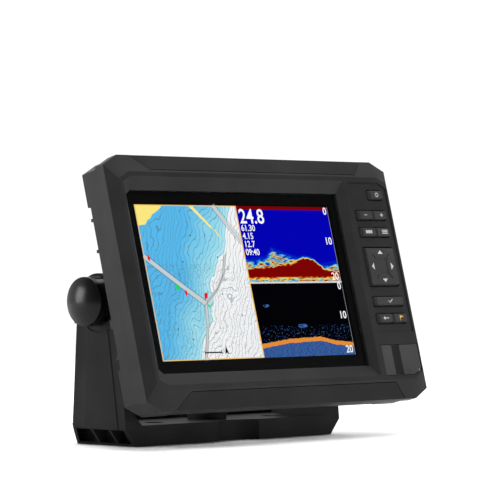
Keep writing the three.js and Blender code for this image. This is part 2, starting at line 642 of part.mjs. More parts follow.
function leverLug(sign) {
  const footY = CRADLE.top - LEVER.lugFoot;
  const outline = [
    ...circle(LEVER.hub, ...pinAxis, 16), [footY, CRADLE.frontZ], [footY, CRADLE.backZ],
  ];
  return bracketAlongX(outline, sign * lugInner, sign * lugOuter);
}

// A plate across the display's back with ribs behind it, an ear at each end and the lever's lugs.
function cradleFrame() {
  const { bottom, top, frontZ, backZ, rim, recess } = CRADLE;
  const shoulder = 52;
  const outline = [
    [-EAR.outer, bottom], [EAR.outer, bottom], [EAR.outer, EAR.top],
    [shoulder, top], [-shoulder, top], [-EAR.outer, EAR.top],
  ];
  const bay = 29;
  const rib = 4;
  const recesses = [-2, -1, 0, 1].map((index) => {
    const left = index * (bay + rib) + rib / 2;
    return block([left, left + bay], [bottom + rim, EAR.top - rim], [backZ - PAST, backZ + recess]);
  });
  const solid = join(
    cut(prism(outline, backZ, frontZ), ...recesses),
    cradleEar(-1), cradleEar(1), leverLug(-1), leverLug(1));
  return cut(
    solid,
    rodAlongX(STUD.radius + 0.4, [PIVOT.y, PIVOT.z], -EAR.outer - PAST, EAR.outer + PAST),
    rodAlongX(LEVER.pin + GAP, pinAxis, -lugOuter - PAST, lugOuter + PAST, 16));
}

// A hub on the pin, a hook that reaches forward over the display's hump and a thumb tab behind.
function releaseLever() {
  const span = [-LEVER.half, LEVER.half];
  const riserHalf = 2.5;
  const notchTop = LEVER.y + 3.6;
  const notchHalf = 5;
  const solid = join(
    rodAlongX(LEVER.hub, pinAxis, ...span, 24),
    block(span, [LEVER.y, HOOK.top], [LEVER.z - riserHalf, LEVER.z + riserHalf]),
    block(span, [HOOK.bottom, HOOK.top], [LEVER.z, HOOK.frontZ]),
    block(span, [HOOK.top - TAB.thickness, HOOK.top], [TAB.backZ, LEVER.z]),
  );
  return cut(
    solid,
    rodAlongX(LEVER.pin + GAP, pinAxis, -LEVER.half - PAST, LEVER.half + PAST, 16),
    block(
      [-LEVER.springHalf - GAP, LEVER.springHalf + GAP],
      [LEVER.y - notchHalf, notchTop],
      [LEVER.z - notchHalf, LEVER.z + notchHalf]));
}

function leverSpring() {
  const { radius, wire, turns } = SPRING;
  const reach = LEVER.springHalf - wire - GAP;
  const stepsPerTurn = 12;
  const steps = turns * stepsPerTurn;
  const points = Array.from({ length: steps + 1 }, (_, i) => {
    const angle = (2 * Math.PI * i) / stepsPerTurn;
    const x = -reach + (2 * reach * i) / steps;
    return new THREE.Vector3(x, LEVER.y + radius * Math.cos(angle), LEVER.z + radius * Math.sin(angle));
  });
  const section = new THREE.Shape(circle(wire, 0, 0, 6).map(([x, y]) => new THREE.Vector2(x, y)));
  const extrudePath = new THREE.CatmullRomCurve3(points);
  return solidOf(new THREE.ExtrudeGeometry(section, { steps, extrudePath }));
}

function washer(sign) {
  const inner = sign * (EAR.outer + GAP);
  const outer = inner + sign * WASHER.thickness;
  const [x0, x1] = [inner, outer].sort((a, b) => a - b);
  const centre = [PIVOT.y, PIVOT.z];
  return cut(
    rodAlongX(WASHER.outer, centre, x0, x1, 32),
    rodAlongX(WASHER.inner, centre, x0 - PAST, x1 + PAST));
}

// ---- Bail bracket and knobs -------------------------------------------------------------------

const lean = THREE.MathUtils.degToRad(LEAN_DEG);
const tiltAxis = [
  DISPLAY_ORIGIN.y + PIVOT.y * Math.sin(lean) - PIVOT.z * Math.cos(lean),
  DISPLAY_ORIGIN.z + PIVOT.y * Math.cos(lean) + PIVOT.z * Math.sin(lean),
];

// The bail is where its outline from the front and its outline from the side meet.
function bailBody() {
  const { footHalf, half, footTop, front, back, deck } = BAIL;
  const topZ = tiltAxis[1] + ARM_TOP.radius + PAST;
  const rightHalf = [
    [footHalf, 0], [half, footTop], [half, topZ], [ARM.inner, topZ],
    [ARM.inner, ARM.cornerZ], [ARM.cornerX, deck],
  ];
  const leftHalf = rightHalf.map(([x, z]) => [-x, z]).reverse();
  const fromSide = [
    [front, 0], [back, 0], [back, deck], [ARM_BACK.low, deck], [ARM_BACK.high, ARM_BACK.shoulderZ],
    ...circle(ARM_TOP.radius, tiltAxis[0] + ARM_TOP.aside, tiltAxis[1], 24, 0, Math.PI),
    [front, footTop],
  ];
  return prismAlongY([...rightHalf, ...leftHalf], front - PAST, back + PAST).intersect(
    prismAlongX(fromSide, -half - PAST, half + PAST));
}

// What lies outside the slanted cut across a back corner of the foot, or across its skin's inside.
function backCorner(sign, inset) {
  const levels = [[BACK_CORNER.low, 0], [BACK_CORNER.high, BAIL.deck]];
  const reach = 2 * BAIL.back;
  return hullOf(levels.flatMap(([sum, z]) => {
    const x = BAIL.half + PAST;
    const y = sum - inset - x;
    const overZ = z === 0 ? -PAST : z + PAST / 2;
    return [[sign * x, y, overZ], [sign * (x - reach), y + reach, overZ], [sign * x, y + reach, overZ]];
  }));
}

// The arm's outer face drops by a slanted bevel to a lower margin along each of its edges.
function armBevel(sign, { depth, low, high }) {
  const face = sign * BAIL.half;
  const margin = sign * (BAIL.half - depth);
  const outside = sign * (BAIL.half + PAST);
  const beyond = low.to > low.from ? BAIL.back + PAST : BAIL.front - PAST;
  return hullOf([low, high].flatMap(({ z, from, to }) => [
    [face, from, z], [margin, to, z], [margin, beyond, z], [outside, beyond, z], [outside, from, z],
  ]));
}

// Three pockets under each arm's outer skin, open to the side, with a rib between each two.
function footPockets(sign) {
  const { innerX, low, high, walls, rib } = FOOT_POCKET;
  const span = [sign * innerX, sign * (BAIL.half + PAST)].sort((a, b) => a - b);
  const last = walls.length - 2;
  return walls.slice(0, -1).map((wall, index) => {
    const from = index === 0 ? wall : wall + rib / 2;
    const to = index === last ? walls[index + 1] : walls[index + 1] - rib / 2;
    const pocket = block(span, [from, to], [low, high]);
    return index === last ? cut(pocket, backCorner(sign, BACK_CORNER.skin)) : pocket;
  });
}

function frontScoop() {
  const { left, right, depth } = SCOOP;
  const chord = right - left;
  const radius = (chord * chord / 4 + depth * depth) / (2 * depth);
  const centre = [(left + right) / 2, BAIL.front + depth - radius];
  return rod(radius, centre, -PAST, BAIL.deck + PAST, 72);
}

// Behind the scoop a round hub stands on the deck.
function hub() {
  const centre = [(SCOOP.left + SCOOP.right) / 2, 0];
  return rod(HUB.radius, centre, UNDER.top, BAIL.deck + HUB.height, 32);
}

function screwHoles() {
  const { x, y, radius, sink } = BAIL_HOLE;
  return [-x, x].flatMap((holeX) => [
    rod(radius, [holeX, y], -PAST, BAIL.deck + PAST),
    loft(
      { outline: circle(radius, holeX, y), z: BAIL.deck + radius - sink },
      { outline: circle(sink + PAST, holeX, y), z: BAIL.deck + PAST },
    ),
  ]);
}

function bailBracket() {
  const underPockets = [-1, 1].map((sign) => {
    const span = [sign * UNDER.inner, sign * UNDER.outer].sort((a, b) => a - b);
    return block(span, [-UNDER.half, UNDER.half], [-PAST, UNDER.top]);
  });
  const bosses = [-1, 1].map((sign) => {
    const centre = [sign * BAIL_HOLE.x, BAIL_HOLE.y];
    return rod(UNDER.boss, centre, 0, UNDER.top + PAST);
  });
  const rim = block(
    [-BACK_RIM.half, BACK_RIM.half], [BAIL.back - BACK_RIM.thickness, BAIL.back], [UNDER.top, BACK_RIM.top]);
  const arms = [-1, 1].flatMap((sign) => [
    armBevel(sign, BACK_BEVEL), armBevel(sign, FRONT_BEVEL), backCorner(sign, 0), ...footPockets(sign),
  ]);
  const recesses = [-1, 1].map((sign) => {
    const span = [sign * (KNOB.backX - GAP), sign * (BAIL.half + PAST)].sort((a, b) => a - b);
    return rodAlongX(KNOB.recess, tiltAxis, ...span, 36);
  });
  const shaped = cut(join(bailBody(), hub(), rim), frontScoop(), ...underPockets, ...arms, ...recesses);
  const bore = rodAlongX(ARM.bore, tiltAxis, -BAIL.half - PAST, BAIL.half + PAST);
  return cut(join(shaped, ...bosses), bore, ...screwHoles());
}

// A round grip with groups of fine ribs, two fine rings at its rim and a low dome.
function knob(sign) {
  const { radius, backX, rimX, domeHeight, socket } = KNOB;
  const bore = STUD.radius + GAP;
  const rings = [0, 1].flatMap((index) => {
    const x = rimX - KNOB_RING.pitch * (2 - index);
    return [
      [radius, x], [radius - KNOB_RING.inset, x],
      [radius - KNOB_RING.inset, x + KNOB_RING.width], [radius, x + KNOB_RING.width],
    ];
  });
  const domeSteps = 6;
  const domeRadius = (radius * radius + domeHeight * domeHeight) / (2 * domeHeight);
  const halfAngle = Math.asin(radius / domeRadius);
  const domePoints = Array.from({ length: domeSteps }, (_, i) => {
    const angle = halfAngle * (1 - i / domeSteps);
    return [domeRadius * Math.sin(angle), rimX + domeHeight - domeRadius * (1 - Math.cos(angle))];
  });
  const profile = [
    [0, backX + socket], [bore, backX + socket], [bore, backX], [radius - 1.2, backX],
    [radius, backX + 1.2], ...rings, ...domePoints, [0, rimX + domeHeight],
  ];
  return join(turnedAlongX(profile, sign, tiltAxis, 48), ...knobRibs(sign));
}

function knobRibs(sign) {
  const { groups, inGroup, pitchDeg, firstDeg, height, length } = KNOB_RIBS;
  const { radius, backX } = KNOB;
  const from = backX + 1.6;
  const ribs = [];
  for (let group = 0; group < groups; group += 1) {
    for (let index = 0; index < inGroup; index += 1) {
      const degrees = firstDeg + (group * 360) / groups + (index - (inGroup - 1) / 2) * pitchDeg;
      const angle = THREE.MathUtils.degToRad(degrees);
      const centre = [tiltAxis[0] + radius * Math.cos(angle), tiltAxis[1] + radius * Math.sin(angle)];
      const span = [sign * from, sign * (from + length)].sort((a, b) => a - b);
      ribs.push(rodAlongX(height, centre, ...span, 8));
    }
  }
  return ribs;
}

function stud(sign) {
  const span = [sign * STUD.inner, sign * STUD.outer].sort((a, b) => a - b);
  return rodAlongX(STUD.radius, tiltAxis, ...span, 20);
}

// ---- Assembly ---------------------------------------------------------------------------------

function displayFrame(...pieces) {
  const group = new THREE.Group();
  group.rotation.x = Math.PI / 2 - lean;
  group.position.set(0, DISPLAY_ORIGIN.y, DISPLAY_ORIGIN.z);
  group.add(...pieces);
  return group;
}

const display = displayFrame(
  piece("front_bezel", frontBezel(), CASE_PLASTIC),
  piece("top_trim", trimSolid(SLOPES.top, 0), TRIM_PLASTIC),
  piece("bottom_trim", trimSolid(SLOPES.bottom, 0), TRIM_PLASTIC),
  piece("cover_glass", coverGlass(), BLACK_GLASS),
  piece("glass_gasket", glassGasket(), BLACK_RUBBER),
  piece("lcd_panel", lcdPanel(), BLACK_GLASS),
  piece("lcd_tray", lcdTray(), ALUMINIUM),
  ...keyPieces(),
  piece("direction_pad", directionPad(), KEY_RUBBER),
  piece("pad_gimbal", padGimbal(), TRIM_PLASTIC),
  piece("keypad_mat", keypadMat(), BLACK_RUBBER),
  piece("keypad_board", keypadBoard(), CIRCUIT_BOARD),
  piece("card_door", cardDoor(), CASE_PLASTIC),
  piece("door_pin", doorPin(), STEEL),
  piece("card_reader", cardReader(), STEEL),
  piece("rear_housing", rearHousing(), CASE_PLASTIC),
  piece("rear_hump", rearHump(), CASE_PLASTIC),
  piece("housing_gasket", housingGasket(), BLACK_RUBBER),
  piece("main_board", mainBoard(), CIRCUIT_BOARD),
  piece("heat_spreader", heatSpreader(), ALUMINIUM),
  ...Object.entries(SOCKET_X).map(([name, x]) => piece(name, socketSolid(x), BLACK_RUBBER)),
  piece("breather", breather(), BLACK_RUBBER),
  ...SCREW_PLACES.map((place, index) => piece(`housing_screw_${index + 1}`, housingScrew(place), STEEL)),
);

const cradle = displayFrame(
  piece("cradle_frame", cradleFrame(), CASE_PLASTIC),
  piece("release_lever", releaseLever(), TRIM_PLASTIC),
  piece("lever_pin", rodAlongX(LEVER.pin, pinAxis, -lugOuter, lugOuter, 16), STEEL),
  piece("lever_spring", leverSpring(), STEEL),
  piece("washer_left", washer(-1), BLACK_RUBBER),
  piece("washer_right", washer(1), BLACK_RUBBER),
);

const chartplotter = new THREE.Group();
chartplotter.add(
  display,
  cradle,
  piece("bail_bracket", bailBracket(), CASE_PLASTIC),
  piece("knob_left", knob(-1), TRIM_PLASTIC),
  piece("knob_right", knob(1), TRIM_PLASTIC),
  piece("stud_left", stud(-1), STEEL),
  piece("stud_right", stud(1), STEEL),
);

export default chartplotter;
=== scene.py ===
"""A chartplotter display on its bail bracket: looks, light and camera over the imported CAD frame."""

import json
import math

import bmesh
import bpy
from mathutils import Matrix, Vector


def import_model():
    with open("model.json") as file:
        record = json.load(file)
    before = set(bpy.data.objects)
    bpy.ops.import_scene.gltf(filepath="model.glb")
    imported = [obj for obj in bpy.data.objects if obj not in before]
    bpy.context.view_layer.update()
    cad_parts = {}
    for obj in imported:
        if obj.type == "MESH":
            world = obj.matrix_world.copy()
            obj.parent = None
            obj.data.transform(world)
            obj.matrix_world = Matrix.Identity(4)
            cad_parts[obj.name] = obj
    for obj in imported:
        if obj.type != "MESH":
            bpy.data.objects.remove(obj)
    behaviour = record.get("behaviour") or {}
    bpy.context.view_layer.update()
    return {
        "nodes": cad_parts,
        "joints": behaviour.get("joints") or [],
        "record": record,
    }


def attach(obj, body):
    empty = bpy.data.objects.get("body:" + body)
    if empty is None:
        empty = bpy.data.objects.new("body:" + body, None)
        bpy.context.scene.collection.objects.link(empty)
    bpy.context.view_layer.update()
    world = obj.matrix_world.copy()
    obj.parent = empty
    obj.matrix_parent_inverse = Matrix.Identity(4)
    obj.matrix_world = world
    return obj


MM = 0.001

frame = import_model()
NODES = frame["nodes"]
JOINTS = {joint["name"]: joint for joint in frame["joints"]}

# The display's own axes: along the screen, up the screen and out of the glass.
SCREEN_U = Vector((1, 0, 0))
SCREEN_V = Vector(JOINTS["card_door_swing"]["axis"]).normalized()
SCREEN_W = Vector(JOINTS["display_pull_off"]["axis"]).normalized()
TO_ROW = Matrix((SCREEN_U, SCREEN_V, SCREEN_W)).transposed().to_4x4()


def display_box(node):
    """A CAD node's lowest and highest corner along the display's own axes, in metres."""
    turned = [TO_ROW.inverted() @ v.co for v in NODES[node].data.vertices]
    low = Vector([min(p[i] for p in turned) for i in range(3)])
    high = Vector([max(p[i] for p in turned) for i in range(3)])
    return low, high


# ---- Shader helpers -----------------------------------------------------------------------------

class Shader:
    """A node material built step by step."""

    def __init__(self, name):
        self.material = bpy.data.materials.new(name)
        self.material.use_nodes = True
        self.tree = self.material.node_tree
        self.tree.nodes.clear()
        self.output = self.add("ShaderNodeOutputMaterial")

    def add(self, kind, **inputs):
        node = self.tree.nodes.new(kind)
        for key, value in inputs.items():
            name = key.replace("_", " ")
            if isinstance(value, bpy.types.NodeSocket):
                self.tree.links.new(value, node.inputs[name])
            else:
                node.inputs[name].default_value = value
        return node

    def link(self, source, target):
        self.tree.links.new(source, target)

    def math(self, operation, first, second=0.0):
        node = self.tree.nodes.new("ShaderNodeMath")
        node.operation = operation
        for index, value in enumerate((first, second)):
            if isinstance(value, bpy.types.NodeSocket):
                self.link(value, node.inputs[index])
            else:
                node.inputs[index].default_value = value
        return node.outputs[0]

    def ramp(self, factor, stops):
        node = self.tree.nodes.new("ShaderNodeValToRGB")
        self.link(factor, node.inputs[0])
        elements = node.color_ramp.elements
        while len(elements) < len(stops):
            elements.new(0.5)
        for element, (position, colour) in zip(elements, stops):
            element.position = position
            element.color = (*colour, 1)
        return node

    def noise(self, vector, scale, detail=3.0):
        node = self.add("ShaderNodeTexNoise", Vector=vector, Scale=scale, Detail=detail)
        return node.outputs["Fac"]

    def place(self):
        return self.add("ShaderNodeTexCoord").outputs["Object"]

    def mix(self, factor, first, second):
        node = self.tree.nodes.new("ShaderNodeMix")
        node.data_type = "RGBA"
        sockets = (node.inputs[0], node.inputs[6], node.inputs[7])
        for socket, value in zip(sockets, (factor, first, second)):
            if isinstance(value, bpy.types.NodeSocket):
                self.link(value, socket)
            elif socket == node.inputs[0]:
                socket.default_value = value
            else:
                socket.default_value = (*value, 1)
        return node.outputs[2]

    def surface(self, shader):
        self.link(shader.outputs[0], self.output.inputs["Surface"])
        return self.material


def grey(value, tint=(1.0, 1.0, 1.02)):
    return tuple(value * share for share in tint)


def moulded(name, tone, roughness, grain=2600, relief=0.05, specular=0.4, spread=0.25):
    """Moulded plastic or rubber: spark-eroded grain, slow changes of tone and slight rubbing marks."""
    s = Shader(name)
    place = s.place()
    fine = s.noise(place, grain, 2)
    slow = s.noise(place, 35, 4)
    colour = s.ramp(slow, [(0.3, grey(tone * (1 - spread))), (0.7, grey(tone * (1 + spread)))])
    speckled = s.mix(s.math("MULTIPLY", fine, 0.35), colour.outputs[0], grey(tone * 1.6))
    uneven = s.math("ADD", s.math("MULTIPLY", s.noise(place, 90, 5), 0.16), roughness - 0.08)
    bump = s.add("ShaderNodeBump", Strength=relief, Distance=0.0003, Height=fine)
    plastic = s.add(
        "ShaderNodeBsdfPrincipled", Base_Color=speckled, Roughness=uneven, Normal=bump.outputs[0])
    plastic.inputs["Specular IOR Level"].default_value = specular
    return s.surface(plastic)


def painted_legend(name, colour):
    """Printed ink: a little uneven, and matt."""
    s = Shader(name)
    place = s.place()
    uneven = s.math("ADD", s.math("MULTIPLY", s.noise(place, 900, 3), 0.2), 0.5)
    worn = s.mix(s.noise(place, 400, 4), colour, tuple(0.7 * share for share in colour))
    return s.surface(s.add("ShaderNodeBsdfPrincipled", Base_Color=worn, Roughness=uneven))


def metal(name, tone, roughness):
    s = Shader(name)
    place = s.place()
    stretched = s.add("ShaderNodeMapping", Vector=place, Scale=(900, 60, 60)).outputs[0]
    brushed = s.noise(stretched, 1.0, 4)
    colour = s.ramp(brushed, [(0.3, grey(tone * 0.8)), (0.7, grey(tone))])
    uneven = s.math("ADD", s.math("MULTIPLY", brushed, 0.2), roughness)
    bump = s.add("ShaderNodeBump", Strength=0.15, Distance=0.0001, Height=brushed)
    shader = s.add("ShaderNodeBsdfPrincipled", Base_Color=colour.outputs[0], Roughness=uneven)
    s.link(bump.outputs[0], shader.inputs["Normal"])
    shader.inputs["Metallic"].default_value = 1.0
    return s.surface(shader)


def circuit_board():
    s = Shader("circuit_board")
    place = s.place()
    tracks = s.add("ShaderNodeTexVoronoi", Vector=place, Scale=160.0).outputs["Distance"]
    colour = s.ramp(tracks, [(0.1, (0.30, 0.22, 0.08)), (0.16, (0.01, 0.07, 0.03))])
    shader = s.add("ShaderNodeBsdfPrincipled", Base_Color=colour.outputs[0], Roughness=0.4)
    return s.surface(shader)


def cover_glass():
    """Clear glass seen straight through, with the reflections of its polished front."""
    s = Shader("cover_glass")
    place = s.place()
    smears = s.math("ADD", s.math("MULTIPLY", s.noise(place, 25, 5), 0.04), 0.01)
    clear = s.add("ShaderNodeBsdfTransparent")
    gloss = s.add("ShaderNodeBsdfGlossy", Color=(1, 1, 1, 1), Roughness=smears)
    share = s.add("ShaderNodeFresnel", IOR=1.38)
    behind = s.add("ShaderNodeNewGeometry").outputs["Backfacing"]
    front_only = s.math("MULTIPLY", share.outputs[0], s.math("SUBTRACT", 1.0, behind))
    mixed = s.add("ShaderNodeMixShader")
    s.link(front_only, mixed.inputs[0])
    s.link(clear.outputs[0], mixed.inputs[1])
    s.link(gloss.outputs[0], mixed.inputs[2])
    return s.surface(mixed)


def lit(s, colour):
    """A screen's light: what the pixels send out, over a black surface."""
    shader = s.add("ShaderNodeBsdfPrincipled", Base_Color=(0.0, 0.0, 0.0, 1), Roughness=0.5)
    shader.inputs["Specular IOR Level"].default_value = 0.0
    if isinstance(colour, bpy.types.NodeSocket):
        s.link(colour, shader.inputs["Emission Color"])
    else:
        shader.inputs["Emission Color"].default_value = (*colour, 1)
    shader.inputs["Emission Strength"].default_value = 1.0
    return s.surface(shader)


def flat_light(name, colour):
    return lit(Shader(name), colour)


# ---- Meshes -------------------------------------------------------------------------------------

def mesh_object(name, mesh, material, body):
    piece = bpy.data.objects.new(name, mesh)
    bpy.context.scene.collection.objects.link(piece)
    piece.data.materials.append(material)
    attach(piece, body)
    return piece


def slab(name, outlines, top, thickness, material, body, uv_box=None):
    """Flat shapes on a plane of the display: outlines of (u, v) in metres, their top at height top."""
    bm = bmesh.new()
    layer = bm.loops.layers.uv.new("UVMap")
    for outline in outlines:
        rings = [
            [bm.verts.new(TO_ROW @ Vector((u, v, height))) for u, v in outline]
            for height in (top - thickness, top)
        ]
        bm.faces.new(rings[0][::-1])
        face = bm.faces.new(rings[1])
        if uv_box:
            (left, bottom), (right, upper) = uv_box
            for loop, (u, v) in zip(face.loops, outline):
                loop[layer].uv = ((u - left) / (right - left), (v - bottom) / (upper - bottom))
        for index in range(len(outline)):
            after = (index + 1) % len(outline)
            bm.faces.new((rings[0][index], rings[0][after], rings[1][after], rings[1][index]))
    bmesh.ops.recalc_face_normals(bm, faces=bm.faces)
    mesh = bpy.data.meshes.new(name)
    bm.to_mesh(mesh)
    bm.free()
    return mesh_object(name, mesh, material, body)


def rectangle(left, bottom, right, top):
    return [(left, bottom), (right, bottom), (right, top), (left, top)]


def arc(centre, radius, start, end, steps=16):
    angles = [math.radians(start + (end - start) * i / steps) for i in range(steps + 1)]
    return [(centre[0] + radius * math.cos(a), centre[1] + radius * math.sin(a)) for a in angles]


def stroke(points, width):
    """The outline of a line of that width through the points."""
    left, right = [], []
    for index, point in enumerate(points):
        before = Vector(points[max(index - 1, 0)])
        after = Vector(points[min(index + 1, len(points) - 1)])
        along = (after - before).normalized()
        aside = Vector((-along.y, along.x)) * (width / 2)
        left.append(tuple(Vector(point) + aside))
        right.append(tuple(Vector(point) - aside))
    return left + right[::-1]


# ---- CAD nodes: soft edges and materials --------------------------------------------------------

def soften(node, width, angle, segments=3):
    """Rounds a CAD node's edges that are sharper than the angle, and shades it smoothly."""
    piece = NODES[node]
    for polygon in piece.data.polygons:
        polygon.use_smooth = True
    weld = piece.modifiers.new("weld", "WELD")
    weld.merge_threshold = 0.00001
    flatten = piece.modifiers.new("flatten", "DECIMATE")
    flatten.decimate_type = "DISSOLVE"
    flatten.angle_limit = math.radians(1.0)
    bevel = piece.modifiers.new("edges", "BEVEL")
    bevel.width = width
    bevel.segments = segments
    bevel.limit_method = "ANGLE"
    bevel.angle_limit = math.radians(angle)
    bevel.harden_normals = False
    weighted = piece.modifiers.new("normals", "WEIGHTED_NORMAL")
    weighted.weight = 100


def paint(node, material):
    piece = NODES[node]
    piece.data.materials.clear()
    piece.data.materials.append(material)


CASE = moulded("case_plastic", 0.014, 0.42, specular=0.06)
BAIL = moulded("bail_plastic", 0.016, 0.45, specular=0.01)
TRIM = moulded("trim_plastic", 0.013, 0.42, grain=3200, relief=0.03, specular=0.03)
KEY = moulded("key_rubber", 0.024, 0.55, grain=3000, relief=0.03, specular=0.08)
DOOR = moulded("door_plastic", 0.034, 0.45, specular=0.03)
# painted shade: a darker plastic for the floor of the card door's groove
GROOVE_SHADE = moulded("door_groove_shade", 0.010, 0.55, specular=0.03)
RUBBER = moulded("black_rubber", 0.006, 0.75, relief=0.04, specular=0.2)
DARK = moulded("black_paint", 0.001, 0.35, relief=0.0, specular=0.03)
KNOB = moulded("knob_plastic", 0.004, 0.24, relief=0.01, specular=0.12)
STEEL = metal("stainless_steel", 0.62, 0.28)
BRASS = metal("gold_plate", 0.70, 0.25)
ALUMINIUM = metal("aluminium", 0.70, 0.35)
BOARD = circuit_board()
GLASS = cover_glass()
LEGEND = moulded("white_legend", 0.34, 0.6, grain=4000, relief=0.02)
AMBER = painted_legend("amber_legend", (0.55, 0.30, 0.05))

SLOT_MATERIALS = {
    "case_plastic": CASE,
    "trim_plastic": TRIM,
    "key_rubber": KEY,
    "black_rubber": RUBBER,
    "cover_glass": GLASS,
    "lcd": DARK,
    "circuit_board": BOARD,
    "aluminium": ALUMINIUM,
    "steel": STEEL,
}


def dress_frame():
    for subpart in frame["record"]["subparts"]:
        paint(subpart["node"], SLOT_MATERIALS[subpart["material_slot"]])
    for node in ("bail_bracket", "cradle_frame"):
        paint(node, BAIL)
    paint("card_door", DOOR)
    for node in ("knob_left", "knob_right"):
        paint(node, KNOB)
        soften(node, 0.12 * MM, 40, segments=2)
    soften("front_bezel", 0.5 * MM, 15)
    soften("rear_housing", 0.8 * MM, 35)
    soften("rear_hump", 1.2 * MM, 25)
    soften("bail_bracket", 0.7 * MM, 35)
    soften("cradle_frame", 0.6 * MM, 35)
    soften("card_door", 0.25 * MM, 35)
    soften("release_lever", 0.4 * MM, 35)
    for node in ("top_trim", "bottom_trim"):
        soften(node, 0.2 * MM, 15)
    for node in ("power_socket", "network_socket", "sonar_socket", "breather"):
        soften(node, 0.3 * MM, 40)
    for body, members in frame["record"]["behaviour"]["bodies"].items():
        if body.endswith("_key"):
            soften(members[0], 0.55 * MM, 15)
    soften("direction_pad", 0.5 * MM, 35)


dress_frame()


# ---- What the screen shows ------------------------------------------------------------------------

LCD_LOW, LCD_HIGH = display_box("lcd_panel")
LIT_WIDTH = 154.1 * MM
LIT_HEIGHT = 85.9 * MM
LIT_LEFT = (LCD_LOW.x + LCD_HIGH.x - LIT_WIDTH) / 2
LIT_BOTTOM = (LCD_LOW.y + LCD_HIGH.y - LIT_HEIGHT) / 2
LIT_TOP = LIT_BOTTOM + LIT_HEIGHT
SPLIT_U = LIT_LEFT + 0.508 * LIT_WIDTH
SPLIT_V = LIT_BOTTOM + 0.491 * LIT_HEIGHT
SHEET = 0.05 * MM
PICTURE_W = LCD_HIGH.z + 2 * SHEET
MARK_W = PICTURE_W + 2 * SHEET
TOP_MARK_W = MARK_W + 2 * SHEET


def on_chart(points):
    """Points given as shares of the chart's width and height."""
    return [
        (LIT_LEFT + x * (SPLIT_U - LIT_LEFT), LIT_BOTTOM + y * LIT_HEIGHT)
        for x, y in points
    ]


def panel(name, box, material):
    return slab(name, [rectangle(*box[0], *box[1])], PICTURE_W, SHEET, material, "display", uv_box=box)


def panel_place(s):
    """The shares across and up a panel, and the same point as a vector."""
    place = s.add("ShaderNodeUVMap").outputs[0]
    split = s.tree.nodes.new("ShaderNodeSeparateXYZ")
    s.link(place, split.inputs[0])
    return split.outputs[0], split.outputs[1], place


def contour_lines(s, height, count, thin):
    """Dark where the height passes one of that many levels, else 0."""
    wave = s.math("PINGPONG", s.math("MULTIPLY", height, count), 0.5)
    return s.math("LESS_THAN", wave, thin)


def chart_material():
    """Water that pales towards the channel, drying flats in white and thin depth contours."""
    s = Shader("chart_picture")
    x, y, place = panel_place(s)
    wide = s.noise(place, 3.2, 3)
    rough = s.noise(place, 9.0, 4)
    slope = s.math("SUBTRACT", s.math("MULTIPLY", x, 1.1), s.math("MULTIPLY", y, 0.62))
    level = s.math("ADD", slope, s.math("MULTIPLY", s.math("SUBTRACT", wide, 0.5), 0.45))
    water = s.ramp(level, [
        (0.0, (0.10, 0.50, 0.86)), (0.10, (0.17, 0.59, 0.86)),
        (0.28, (0.31, 0.72, 0.88)), (0.40, (0.45, 0.82, 0.92))])
    flats = s.math("GREATER_THAN", level, 0.42)
    colour = s.mix(flats, water.outputs[0], (0.93, 0.94, 0.95))
    broad_lines = contour_lines(s, level, 22.0, 0.075)
    rough_level = s.math("ADD", level, s.math("MULTIPLY", rough, 0.9))
    low_half = s.math("LESS_THAN", y, 0.62)
    wiggles = s.math("MULTIPLY", contour_lines(s, rough_level, 14.0, 0.06), low_half)
    lines = s.math("MULTIPLY", s.math("MAXIMUM", broad_lines, wiggles), 0.55)
    return lit(s, s.mix(lines, colour, (0.10, 0.16, 0.20)))


def echo_palette(s, strength):
    return s.ramp(strength, [
        (0.00, (0.0, 0.0, 0.46)), (0.30, (0.0, 0.02, 0.55)), (0.42, (0.01, 0.30, 0.75)),
        (0.52, (0.15, 0.70, 0.60)), (0.62, (0.85, 0.75, 0.08)), (0.74, (0.80, 0.16, 0.01)),
        (0.84, (0.21, 0.0, 0.0)), (1.00, (0.21, 0.0, 0.0))])


def profile_of(s, across, points):
    """A height that follows the points of (share across, share up)."""
    return s.ramp(across, [(x, (y, y, y)) for x, y in points]).outputs[0]


def streaks(s, place, scale, across=0.25):
    stretched = s.add("ShaderNodeMapping", Vector=place, Scale=(scale * across, scale, 1.0)).outputs[0]
    return s.noise(stretched, 1.0, 4)


def sonar_material():
    """A depth sounder's trace: a hard red bed under scattered echoes, and the surface line."""
    s = Shader("sonar_picture")
    x, y, place = panel_place(s)
    ragged = s.math("MULTIPLY", s.math("SUBTRACT", s.noise(place, 26.0, 4), 0.5), 0.07)
    bed_line = [(0.0, 0.19), (0.3, 0.22), (0.5, 0.26), (0.62, 0.33), (0.72, 0.31), (0.85, 0.17), (1.0, 0.14)]
    bed = s.math("ADD", ragged, profile_of(s, x, bed_line))
    cloud_line = [(0.0, 0.33), (0.22, 0.36), (0.3, 0.48), (0.5, 0.38), (0.7, 0.31), (0.8, 0.26), (1.0, 0.30)]
    cloud = profile_of(s, x, cloud_line)
    grain = streaks(s, place, 60.0)
    under_cloud = s.math("MULTIPLY", s.math("SUBTRACT", cloud, y), 9.0)
    faded = s.math("MINIMUM", s.math("MAXIMUM", under_cloud, 0.0), 1.0)
    scattered = s.math("MULTIPLY", faded, s.math("SUBTRACT", s.math("MULTIPLY", grain, 2.6), 0.72))
    into_bed = s.math("MULTIPLY", s.math("SUBTRACT", bed, y), 16.0)
    solid = s.math("MINIMUM", s.math("ADD", into_bed, 0.5), 1.0)
    low_edge = s.math("ADD", s.math("MULTIPLY", ragged, 0.9), 0.075)
    over_edge = s.math("ADD", s.math("MULTIPLY", s.math("SUBTRACT", y, low_edge), 9.0), 0.84)
    mass = s.math("MINIMUM", solid, over_edge)
    surface_line = s.math("GREATER_THAN", y, 0.955)
    strength = s.math("MAXIMUM", s.math("MAXIMUM", scattered, mass), surface_line)
    return lit(s, echo_palette(s, strength).outputs[0])


